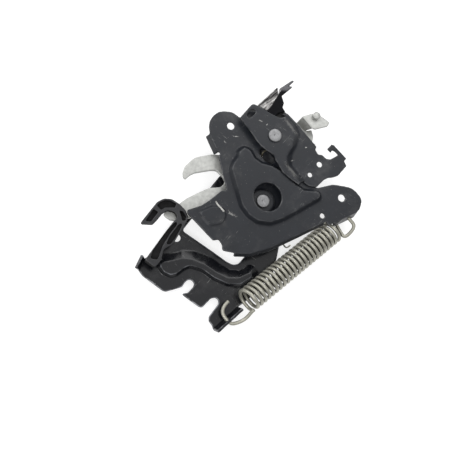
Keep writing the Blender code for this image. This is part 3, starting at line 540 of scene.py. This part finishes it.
def glossy_coat():
    look = finish()
    return surface(
        "Glossy black coat", tuple(look.gloss_coat), 0.2, 0.0, shade=0.3, uneven=0.4, bump=0.07,
        mottle=(90.0, 500.0), shine=0.42, dust=0.6 * look.dust, scratch=0.7 * look.scratches,
        # Here the rubbed-edge mask, strong and bluish-white, paints a highlight along the lever's
        # ridge
        wear_and_sheen=2.2 * look.edge_wear_and_sheen, wear_and_sheen_colour=(0.36, 0.37, 0.4),
    )


def zinc_plate():
    look = finish()
    return surface(
        "Zinc plate", tuple(look.zinc), 0.42, 0.45, mottle=(330.0, 900.0), shade=0.4, uneven=0.3,
        bump=0.3, scratch=0.3 * look.scratches, scratch_colour=(0.2, 0.2, 0.19),
        wear_and_sheen=0.3 * look.edge_wear_and_sheen, wear_and_sheen_colour=(0.7, 0.7, 0.68),
    )


def oiled_steel():
    look = finish()
    return surface(
        "Oiled steel", tuple(look.oiled), 0.34, 0.45, mottle=(150.0, 700.0), shade=0.5, uneven=0.4,
        bump=0.2, scratch=0.3 * look.scratches, scratch_colour=(0.3, 0.29, 0.25),
    )


def rivet_steel():
    look = finish()
    return surface(
        "Rivet steel", tuple(look.rivet), 0.4, 0.6, mottle=(420.0, 1100.0), shade=0.5, uneven=0.3,
        bump=0.4, scratch=0.4 * look.scratches, scratch_colour=(0.55, 0.55, 0.55),
    )


def spring_wire(name="Drawn spring wire", inside=None):
    look = finish()
    return surface(
        name, tuple(look.wire), 0.38, 0.6, mottle=(160.0, 1800.0), shade=0.3, uneven=0.3,
        bump=0.15, dust=0.3 * look.dust, inside=inside,
    )


def moulded_black():
    """Plastic with paler rims, and painted shade in its pockets."""
    look = finish()
    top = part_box("lever_pull")[1].z
    return surface(
        "Black moulding", tuple(look.moulding), 0.42, 0.0, mottle=(70.0, 2400.0), shade=0.25,
        uneven=0.3, bump=0.25, dust=0.5 * look.dust, wear_and_sheen=1.5 * look.edge_wear_and_sheen,
        wear_and_sheen_colour=(0.085, 0.085, 0.09), shine=0.42,
        # Painted shade in the pockets, by depth under the top
        shaded_hollow=(top - POCKET_DARK * MM, top - POCKET_FADE * MM),
    )


def streaks(tree, vector):
    """Streaks of painted sheen on the raised side, painted shade on the flat, and greyer grips."""
    headed = turned_place(tree, vector, math.radians(STREAK_ANGLE))
    drawn = stretched_place(tree, headed, (70.0, 620.0, 300.0))
    ragged = noise(tree, drawn, scale=1.0, detail=4.0, roughness=0.7)
    lines = steps(tree, ragged, low=0.42, high=0.62)
    across = put(
        tree, "ShaderNodeVectorMath", {0: vector}, {1: CREASE_SIDE}, operation="DOT_PRODUCT"
    )
    # The raised side gets a painted sheen, the flat side painted shade
    raised = steps(
        tree, across.outputs["Value"], low=CREASE_AT * MM, high=(CREASE_AT + CREASE_WIDTH) * MM
    )
    grips = steps(tree, parts(tree, vector)["Y"], low=GRIPS_FROM * MM, high=GRIPS_FULL * MM)
    bright = mix_colour(tree, lines, SHEEN_STREAK_DARK, SHEEN_STREAK_BRIGHT)
    shown = mix_colour(tree, raised, SHADED_FLAT_SIDE, bright)
    return mix_colour(tree, grips, shown, GRIP_GREY)


def sheen_and_shade_steel():
    return surface(
        "Streaked steel", streaks, 0.3, 0.8, mottle=(130.0, 900.0), uneven=0.5, bump=0.25,
        shine=0.2,
    )


def black_rubber_and_shade():
    return surface("Stop rubber", (0.02, 0.02, 0.02), 0.8, 0.0, bump=0.3)


def dark_bush():
    return surface("Bush plastic", (0.04, 0.04, 0.042), 0.55, 0.0, bump=0.2)


def coat_with(obj, finish_made):
    """Gives a piece, or a solid that stays as it is, one finish and no other."""
    obj.data.materials.clear()
    obj.data.materials.append(finish_made)


def settle(obj, body, slot, finish_made, *nodes):
    """Gives a finished piece its finish, the solids it stands for and its body. Slot is not used.
    """
    coat_with(obj, finish_made)
    if nodes:
        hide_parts(*nodes)
    if body:
        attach(obj, body)


def placed(name, data):
    """A new object in the scene."""
    obj = bpy.data.objects.new(name, data)
    bpy.context.scene.collection.objects.link(obj)
    return obj


def made_plain(obj, name):
    """The evaluated shape as a plain mesh, in place of an object and its modifiers."""
    bpy.context.view_layer.update()
    mesh = bpy.data.meshes.new_from_object(obj.evaluated_get(bpy.context.evaluated_depsgraph_get()))
    mesh.name = name
    mesh.shade_smooth()
    bpy.data.objects.remove(obj, do_unlink=True)
    return placed(name, mesh)


def pressing(node, name, grain, rounds):
    """A copy of a solid with the small radii that pressing and blanking leave on it."""
    mesh = NODES[node].data.copy()
    work = bmesh.new()
    work.from_mesh(mesh)
    bmesh.ops.remove_doubles(work, verts=work.verts, dist=1e-6)
    work.to_mesh(mesh)
    work.free()
    obj = placed(name + "_work", mesh)
    remesh = obj.modifiers.new("grain", "REMESH")
    remesh.mode = "VOXEL"
    remesh.voxel_size = grain
    soften = obj.modifiers.new("soften", "SMOOTH")
    soften.factor = 0.5
    soften.iterations = rounds
    return made_plain(obj, name)


def closed_mesh(name, work):
    """An object from a finished bmesh, with its faces pointing outwards."""
    bmesh.ops.recalc_face_normals(work, faces=work.faces)
    mesh = bpy.data.meshes.new(name)
    work.to_mesh(mesh)
    work.free()
    return placed(name, mesh)


def ring(work, centre, radii, height):
    """Points round a centre, one for each radius, in millimetres."""
    points = []
    for i, radius in enumerate(radii):
        heading = 2 * math.pi * i / len(radii)
        points.append(work.verts.new((
            (centre[0] + radius * math.cos(heading)) * MM,
            (centre[1] + radius * math.sin(heading)) * MM, height * MM,
        )))
    return points


def turned(name, centre, profile, around=64):
    """A round piece from (radius, height) pairs in millimetres, closed at both ends."""
    work = bmesh.new()
    rings = [
        ring(work, centre, [radius] * (around if radius else 1), height)
        for radius, height in profile
    ]
    for first, second in zip(rings, rings[1:]):
        for i in range(around):
            corners = [first[(i - 1) % len(first)], first[i % len(first)]]
            corners += [second[i % len(second)], second[(i - 1) % len(second)]]
            work.faces.new(list(dict.fromkeys(corners)))
    obj = closed_mesh(name, work)
    obj.data.shade_smooth()
    obj.data.set_sharp_from_angle(angle=math.radians(50))
    return obj


def bored_web(name, corners, bore_at, bore_radius, heights, around=64):
    """A flat filling of an outline with one round bore, in millimetres."""
    bottom, top = heights
    bore = [bore_radius] * around
    edge = [reach_to(corners, bore_at, 2 * math.pi * i / around) for i in range(around)]
    work = bmesh.new()
    loops = [
        ring(work, bore_at, radii, height)
        for radii, height in ((bore, bottom), (bore, top), (edge, top), (edge, bottom))
    ]
    for first, second in zip(loops, loops[1:] + loops[:1]):
        for i in range(around):
            work.faces.new((first[i - 1], first[i], second[i], second[i - 1]))
    return closed_mesh(name, work)


def flat_web(name, corners, heights):
    """A flat filling of an outline, in millimetres."""
    work = bmesh.new()
    low, high = (
        [work.verts.new((x * MM, y * MM, height * MM)) for x, y in corners] for height in heights
    )
    work.faces.new(low)
    work.faces.new(high)
    for i in range(len(corners)):
        work.faces.new((low[i - 1], low[i], high[i], high[i - 1]))
    return closed_mesh(name, work)


def reach_to(corners, at, heading):
    """How far a ray from a point inside an outline goes until it meets the outline."""
    ahead = Vector((math.cos(heading), math.sin(heading)))
    far = []
    for first, second in zip(corners, corners[1:] + corners[:1]):
        side = Vector(second) - Vector(first)
        offset = Vector(first) - Vector(at)
        turn = ahead.cross(side)
        if abs(turn) > 1e-9:
            reach, along = offset.cross(side) / turn, offset.cross(ahead) / turn
            if reach > 0.0 and 0.0 <= along <= 1.0:
                far.append(reach)
    return min(far)


def wire_tree():
    """Geometry nodes that sweep a round wire along a curve and close its ends."""
    if "Swept Wire" in bpy.data.node_groups:
        return bpy.data.node_groups["Swept Wire"]
    tree = bpy.data.node_groups.new("Swept Wire", "GeometryNodeTree")
    for label, kind in (("Path", "NodeSocketGeometry"), ("Wire Radius", "NodeSocketFloat"),
                        ("Sides", "NodeSocketInt"), ("Finish", "NodeSocketMaterial")):
        tree.interface.new_socket(label, in_out="INPUT", socket_type=kind)
    tree.interface.new_socket("Wire", in_out="OUTPUT", socket_type="NodeSocketGeometry")
    given, result = tree.nodes.new("NodeGroupInput"), tree.nodes.new("NodeGroupOutput")
    section = put(
        tree, "GeometryNodeCurvePrimitiveCircle",
        {"Resolution": given.outputs["Sides"], "Radius": given.outputs["Wire Radius"]},
    )
    swept = put(
        tree, "GeometryNodeCurveToMesh",
        {"Curve": given.outputs["Path"], "Profile Curve": section.outputs["Curve"]},
        {"Fill Caps": True},
    )
    whole = put(tree, "GeometryNodeRealizeInstances", {"Geometry": swept.outputs["Mesh"]})
    finished = put(
        tree, "GeometryNodeSetMaterial",
        {"Geometry": whole.outputs["Geometry"], "Material": given.outputs["Finish"]},
    )
    tree.links.new(finished.outputs["Geometry"], result.inputs["Wire"])
    return tree


def set_input(modifier, label, value):
    """Sets a geometry nodes input by its socket's identifier."""
    for item in modifier.node_group.interface.items_tree:
        if item.item_type == "SOCKET" and item.in_out == "INPUT" and item.name == label:
            modifier[item.identifier] = value


def metres(points):
    return [Vector(point) * MM for point in points]


def rounded_path(points, rounds):
    """The same path with its corners cut, for the bends of a wire."""
    for _ in range(rounds):
        cut = [points[0]]
        for first, second in zip(points, points[1:]):
            cut.append(first.lerp(second, 0.25))
            cut.append(first.lerp(second, 0.75))
        points = cut + [points[-1]]
    return points


def hooked_path(first_end, coil, last_end, rounds):
    """A spring's path: one rounded end, its coil and the other rounded end."""
    before = rounded_path(first_end + coil[:1], rounds)[:-1]
    return before + coil + rounded_path(coil[-1:] + last_end, rounds)[1:]


def wire(name, points, diameter, finish_made, sides):
    """A wire along points in metres, made a plain mesh."""
    curve = bpy.data.curves.new(name, "CURVE")
    curve.dimensions = "3D"
    spline = curve.splines.new("POLY")
    spline.points.add(len(points) - 1)
    for point, at in zip(spline.points, points):
        point.co = (*at, 1.0)
    obj = placed(name + "_work", curve)
    swept = obj.modifiers.new("wire", "NODES")
    swept.node_group = wire_tree()
    set_input(swept, "Wire Radius", diameter / 2)
    set_input(swept, "Sides", sides)
    set_input(swept, "Finish", finish_made)
    return made_plain(obj, name)


def mark_coil_shade(obj, start, axis, size):
    """Marks, as painted shade, how far each point faces the coil's axis, less at the low, open end.
    """
    inside = obj.data.attributes.new(COIL_SHADE_MARK, "FLOAT", "POINT")
    for vertex, mark in zip(obj.data.vertices, inside.data):
        along = (vertex.co - start).dot(axis)
        if 0.0 < along < size.coil_turns * size.coil_pitch:
            off = (vertex.co - start - along * axis).length
            depth = COIL_SHADE_REACH + (size.coil_radius - off) / (0.5 * size.coil_wire)
            open_end = min(1.0, along / (COIL_SHADE_THINS * size.coil_pitch))
            mark.value = min(1.0, max(0.0, depth)) * open_end


class LATCH_OT_plates(bpy.types.Operator):
    """Make the main, cover and bearing plates"""

    bl_idname = "latch.plates"
    bl_label = "Pressed plates"

    def execute(self, context):
        coat = satin_coat()
        for node, name in (
            ("main_plate", "main_pressing"), ("cover_plate", "cover_pressing"),
            ("bearing_plate", "bearing_pressing"),
        ):
            made = pressing(node, name, sizes().plate_grain, sizes().edge_rounds)
            settle(made, "frame", "coat", coat, node)
        web = bored_web("bearing_web", SPRING_SLOT, SPRING_LEG, LEG_BORE, BEARING_SHEET)
        settle(web, "frame", "coat", coat)
        # The two inner sheets are black as painted shade, under the cover and the release lever
        for name, corners in (("lever_web", LEVER_WEB), ("slot_web", SLOT_WEB)):
            settle(flat_web(name, corners, INNER_SHEET), "frame", "coat", black_rubber_and_shade())
        return {"FINISHED"}


class LATCH_OT_fork(bpy.types.Operator):
    """Make the plated catch fork"""

    bl_idname = "latch.fork"
    bl_label = "Catch fork"

    def execute(self, context):
        made = pressing("fork", "catch_fork", sizes().small_grain, sizes().edge_rounds)
        settle(made, "fork", "zinc", zinc_plate(), "fork")
        coat_with(NODES["fork_bush"], dark_bush())
        return {"FINISHED"}


class LATCH_OT_pawl(bpy.types.Operator):
    """Make the pawl, the release arm with its stud, and the release lever"""

    bl_idname = "latch.pawl"
    bl_label = "Pawl and release arm"

    def execute(self, context):
        zinc = zinc_plate()
        for node, name, metal in (
            ("pawl", "sprung_pawl", oiled_steel()), ("release_arm", "cable_arm", zinc),
        ):
            made = pressing(node, name, sizes().small_grain, sizes().edge_rounds)
            settle(made, "pawl", "zinc", metal, node)
        made = pressing("release_lever", "finger_lever", sizes().small_grain, sizes().fine_rounds)
        settle(made, "pawl", "bright_steel", sheen_and_shade_steel(), "release_lever")
        low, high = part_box("cable_stud")
        base, crown = low.z / MM, high.z / MM
        centre = ((low.x + high.x) / 2 / MM, (low.y + high.y) / 2 / MM)
        head, neck = (high.x - low.x) / 2 / MM, STUD_NECK
        profile = [
            (0.0, crown), (0.3 * head, crown - 0.03), (0.62 * head, crown - 0.2),
            (0.86 * head, crown - 0.6), (head, crown - 1.1), (head, base + neck + 0.25),
            (head - 0.25, base + neck), (neck, base + neck), (neck, base), (0.0, base),
        ]
        made = turned("cable_button", centre, profile, around=40)
        settle(made, "pawl", "zinc", zinc, "cable_stud")
        coat_with(NODES["pawl_sleeve"], zinc)
        return {"FINISHED"}


class LATCH_OT_lever(bpy.types.Operator):
    """Make the glossy lift lever"""

    bl_idname = "latch.lever"
    bl_label = "Lift lever"

    def execute(self, context):
        made = pressing("lift_lever", "lift_pressing", sizes().plate_grain, sizes().edge_rounds)
        settle(made, "lever", "gloss_coat", glossy_coat(), "lift_lever")
        coat_with(NODES["lever_bush"], dark_bush())
        return {"FINISHED"}


class LATCH_OT_pull(bpy.types.Operator):
    """Make the moulded pull with its pockets"""

    bl_idname = "latch.pull"
    bl_label = "Moulded pull"

    def execute(self, context):
        made = pressing("lever_pull", "moulded_pull", sizes().pull_grain, sizes().fine_rounds)
        settle(made, "lever", "moulding", moulded_black(), "lever_pull")
        return {"FINISHED"}


class LATCH_OT_rivets(bpy.types.Operator):
    """Make the two rivets and dress the washer, spacer, stop pins and sleeves"""

    bl_idname = "latch.rivets"
    bl_label = "Rivets and stops"

    def execute(self, context):
        steel = rivet_steel()
        head, rise, shank = RIVET_HEAD, RIVET_RISE, RIVET_SHANK
        for node, centre in (("fork_rivet", FORK_AXIS), ("pawl_rivet", PAWL_AXIS)):
            low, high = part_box(node)
            crown, tail = high.z / MM, low.z / MM
            profile = [
                (0.0, crown - 0.45), (0.55, crown - 0.4), (0.95, crown - 0.06), (1.25, crown),
                (0.6 * head, crown - 0.02), (0.84 * head, crown - 0.07),
                (0.94 * head, crown - 0.18), (0.985 * head, crown - 0.4), (head, crown - 0.8),
                (head, crown - rise + 0.15), (head - 0.15, crown - rise), (shank, crown - rise),
                (shank, tail + rise), (head, tail + rise), (head, tail + rise - 0.4),
                (0.9 * head, tail + 0.4), (0.6 * head, tail), (0.0, tail),
            ]
            made = turned(node.replace("rivet", "headed_rivet"), centre, profile)
            settle(made, "frame", "rivet_steel", steel, node)
        for node in ("lever_washer", "cover_spacer", "fork_stop_pin", "lever_stop_pin"):
            coat_with(NODES[node], steel)
        for node in ("fork_stop_sleeve", "lever_stop_sleeve"):
            coat_with(NODES[node], black_rubber_and_shade())
        return {"FINISHED"}


class LATCH_OT_tension_spring(bpy.types.Operator):
    """Wind the tension spring and its two hooks"""

    bl_idname = "latch.tension_spring"
    bl_label = "Tension spring"

    def execute(self, context):
        size = sizes()
        low, high = metres(COIL_ENDS)
        axis = (high - low).normalized()
        across = Vector((axis.y, -axis.x, 0.0)).normalized()
        above = across.cross(axis)
        start = (low + high) / 2 - axis * size.coil_turns * size.coil_pitch / 2
        coil = []
        for i in range(round(size.coil_turns * STEPS_PER_TURN) + 1):
            turn = 2 * math.pi * i / STEPS_PER_TURN
            spoke = across * math.cos(turn) - above * math.sin(turn)
            forward = axis * size.coil_pitch * i / STEPS_PER_TURN
            coil.append(start + forward + size.coil_radius * spoke)
        path = hooked_path(metres(LOW_HOOK), coil, metres(HIGH_HOOK), rounds=3)
        # The coil's inner side is darkened as painted shade, less towards its open end
        steel = spring_wire("Coil wire shaded inside", inside=COIL_SHADE_MARK)
        made = wire("wound_spring", path, size.coil_wire, steel, sides=16)
        mark_coil_shade(made, start, axis, size)
        settle(made, None, "spring_steel", steel, "tension_spring")
        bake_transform(made)
        return {"FINISHED"}


class LATCH_OT_leg_springs(bpy.types.Operator):
    """Wind the fork's and the pawl's small springs"""

    bl_idname = "latch.leg_springs"
    bl_label = "Leg springs"

    def coil(self, at, top, turns, start):
        """Points of a coil that goes down from its top, in millimetres, from a start in degrees."""
        points = []
        for i in range(round(turns * STEPS_PER_TURN) + 1):
            turn = math.radians(start) + 2 * math.pi * i / STEPS_PER_TURN
            points.append((
                at[0] + LEG_COIL_RADIUS * math.cos(turn), at[1] + LEG_COIL_RADIUS * math.sin(turn),
                top - LEG_COIL_DROP - LEG_COIL_PITCH * i / STEPS_PER_TURN,
            ))
        return points

    def wind(self, node, name, steel, first_leg, coil, last_leg):
        """One spring from leg to coil to leg, with the two ends of its path."""
        path = hooked_path(metres(first_leg), metres(coil), metres(last_leg), rounds=2)
        made = wire(name, path, sizes().leg_wire, steel, sides=10)
        settle(made, None, "spring_steel", steel, node)
        return made, tuple(path[0]), tuple(path[-1])

    def execute(self, context):
        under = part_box("fork")[0].z / MM - LEG_COIL_GAP
        made, on_fork, on_frame = self.wind(
            "fork_spring", "fork_leg_spring", spring_wire(),
            [(-40, -26.5, under + 3.3), (-40, -26.5, under - 0.7)],
            self.coil(FORK_AXIS, top=under, turns=1.04, start=225.0),
            [(-8, -56, -13.9), (0, -69, -13.9), (2.4, -72.8, -13.2), (2.9, -73.8, -9),
             (2.5, -73.4, 0.5)],
        )
        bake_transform(made)
        made, on_frame, on_pawl = self.wind(
            "pawl_spring", "pawl_leg_spring", oiled_steel(),
            [(-20.4, 5.4, -6), (-20.6, 6.4, -2), (-20, 8.6, -1)],
            self.coil(PAWL_AXIS, top=-0.3, turns=1.47, start=285.0),
            [(-22, 28.2, -3.6), (-25.6, 27.8, -3.9), (-26.4, 27.2, -5), (-26.4, 26.8, -9),
             (-22, 23.4, -9)],
        )
        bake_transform(made)
        return {"FINISHED"}


class LATCH_OT_stage(bpy.types.Operator):
    """Set up the floor, the lamps, the world and the camera"""

    bl_idname = "latch.stage"
    bl_label = "Stage"

    def lamp(self, name, at, diameter, power):
        """A round lamp at a place in metres, aimed at the origin."""
        data = bpy.data.lights.new(name, "AREA")
        data.shape = "DISK"
        data.size = diameter
        data.energy = power
        obj = placed(name, data)
        obj.location = at
        obj.rotation_euler = (-Vector(at)).to_track_quat("-Z", "Y").to_euler()

    def seen_white(self, tree, lit, strength):
        """The lit surface, with plain white added where camera, glossy or clear rays see it."""
        path = put(tree, "ShaderNodeLightPath")
        seen = sums(tree, "MAXIMUM", path.outputs["Is Camera Ray"], path.outputs["Is Glossy Ray"])
        seen = sums(tree, "MAXIMUM", seen, path.outputs["Is Transmission Ray"])
        glow = put(tree, "ShaderNodeEmission", {"Strength": sums(tree, "MULTIPLY", seen, strength)})
        return put(tree, "ShaderNodeAddShader", {0: lit, 1: glow.outputs[0]}).outputs[0]

    def floor(self, colour):
        """A wide pale floor just under the latch."""
        mesh = bpy.data.meshes.new("floor")
        level = CAD_BOX[0][2] - FLOOR_GAP
        signs = ((-1, -1), (1, -1), (1, 1), (-1, 1))
        corners = [(x * FLOOR_REACH, y * FLOOR_REACH, level) for x, y in signs]
        mesh.from_pydata(corners, [], [(0, 1, 2, 3)])
        paper = bpy.data.materials.new("Pale floor")
        paper.use_nodes = True
        tree = paper.node_tree
        shader = tree.nodes["Principled BSDF"]
        shader.inputs["Base Color"].default_value = (*colour, 1.0)
        shader.inputs["Roughness"].default_value = 0.9
        shader.inputs["Specular IOR Level"].default_value = 0.1
        lit = self.seen_white(tree, shader.outputs[0], FLOOR_GLOW)
        tree.links.new(lit, tree.nodes["Material Output"].inputs["Surface"])
        mesh.materials.append(paper)
        placed("floor", mesh)

    def sky(self, strength):
        """A white world, brightest straight above."""
        world = bpy.data.worlds.new("Studio")
        world.use_nodes = True
        tree = world.node_tree
        background = tree.nodes["Background"]
        background.inputs["Color"].default_value = (1.0, 1.0, 1.0, 1.0)
        height = parts(tree, put(tree, "ShaderNodeTexCoord").outputs["Generated"])["Z"]
        dome = sums(
            tree, "MULTIPLY_ADD", steps(tree, height, low=0.2, high=0.95),
            (1.0 - HORIZON_SHARE) * strength, HORIZON_SHARE * strength,
        )
        tree.links.new(dome, background.inputs["Strength"])
        bpy.context.scene.world = world

    def camera(self):
        """The photograph's viewpoint."""
        ahead = Vector(SIGHT_LINE).normalized()
        right = ahead.cross(Vector((0, 1, 0))).normalized()
        up = right.cross(ahead)
        data = bpy.data.cameras.new("Camera")
        data.sensor_fit = "HORIZONTAL"
        data.sensor_width = SENSOR
        data.lens = SENSOR * FOCAL_PIXELS / PICTURE_WIDTH
        obj = placed("Camera", data)
        turn = Matrix((right, up, -ahead)).transposed().to_4x4()
        obj.matrix_world = Matrix.Translation(Vector(EYE) * MM) @ turn
        bpy.context.scene.camera = obj

    def execute(self, context):
        stage = context.scene.latch_stage
        self.floor(stage.floor)
        self.sky(stage.world_light)
        self.lamp("Key lamp", (0.25, 0.75, 0.85), 0.9, stage.key_light)
        self.lamp("Rim lamp", (-0.7, 0.35, 0.45), 0.6, stage.rim_light)
        self.lamp("Front lamp", (-0.42, -0.5, 0.7), 0.22, stage.front_light)
        self.camera()
        context.scene.view_settings.view_transform = "Standard"
        return {"FINISHED"}


class LATCH_PT_panel(bpy.types.Panel):
    """Sizes, finishes and steps of the latch"""

    bl_idname = "LATCH_PT_panel"
    bl_label = "Bonnet Latch"
    bl_space_type = "VIEW_3D"
    bl_region_type = "UI"
    bl_category = "Latch"

    def draw(self, context):
        scene = context.scene
        for settings in (scene.latch_sizes, scene.latch_finish, scene.latch_stage):
            column = self.layout.column(align=True)
            for key in settings.__annotations__:
                column.prop(settings, key)
        for operator in OPERATORS:
            self.layout.operator(operator.bl_idname)


OPERATORS = (
    LATCH_OT_plates, LATCH_OT_fork, LATCH_OT_pawl, LATCH_OT_lever, LATCH_OT_pull, LATCH_OT_rivets,
    LATCH_OT_tension_spring, LATCH_OT_leg_springs, LATCH_OT_stage,
)
CLASSES = (LatchSizes, LatchFinish, LatchStage, *OPERATORS, LATCH_PT_panel)


def register():
    for made in CLASSES:
        bpy.utils.register_class(made)
    bpy.types.Scene.latch_sizes = PointerProperty(type=LatchSizes)
    bpy.types.Scene.latch_finish = PointerProperty(type=LatchFinish)
    bpy.types.Scene.latch_stage = PointerProperty(type=LatchStage)


def unregister():
    del bpy.types.Scene.latch_sizes
    del bpy.types.Scene.latch_finish
    del bpy.types.Scene.latch_stage
    for made in reversed(CLASSES):
        bpy.utils.unregister_class(made)


def main():
    register()
    bpy.ops.latch.plates()
    bpy.ops.latch.fork()
    bpy.ops.latch.pawl()
    bpy.ops.latch.lever()
    bpy.ops.latch.pull()
    bpy.ops.latch.rivets()
    bpy.ops.latch.tension_spring()
    bpy.ops.latch.leg_springs()
    bpy.ops.latch.stage()


if __name__ == "__main__":
    main()
